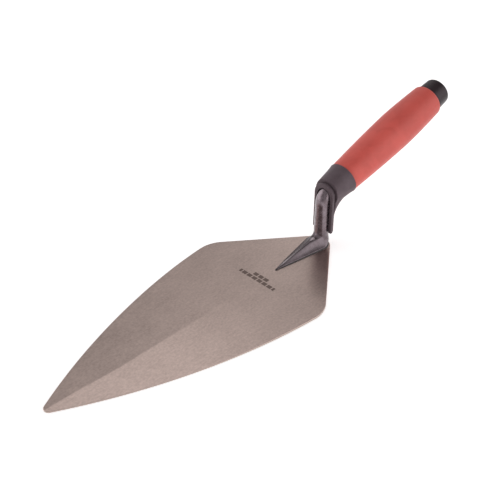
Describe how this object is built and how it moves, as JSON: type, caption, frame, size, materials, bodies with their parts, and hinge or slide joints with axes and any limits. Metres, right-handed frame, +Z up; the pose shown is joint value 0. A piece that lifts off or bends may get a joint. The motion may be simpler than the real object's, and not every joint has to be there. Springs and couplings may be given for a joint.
{
  "type": "brick trowel",
  "caption": "Brick-laying trowel: a flat kite-shaped steel blade on a cranked shank, with a finger guard and a soft cushioned grip.",
  "frame": {"origin": "on the blade's flat underside, straight below the axis of the upright neck", "axes": "+X from the toe towards the handle, +Z up out of the blade's top face, +Y to the left; the part is mirror-symmetric about y = 0"},
  "size_m": [0.4284, 0.127, 0.1008],
  "materials": {
    "blade_steel": "ground steel under clear lacquer, satin",
    "shank_steel": "forged steel under dark lacquer, semi-gloss",
    "weld_steel": "weld bead under dark lacquer",
    "core_plastic": "moulded black plastic, satin",
    "grip_rubber": "soft-touch moulded red rubber, matt",
    "cap_plastic": "moulded black plastic, satin"
  },
  "bodies": {
    "root": {"blade": "blade_steel", "shank": "shank_steel", "foot_weld": "weld_steel", "handle_core": "core_plastic", "grip_sleeve": "grip_rubber", "butt_cap": "cap_plastic"}
  },
  "joints": []
}
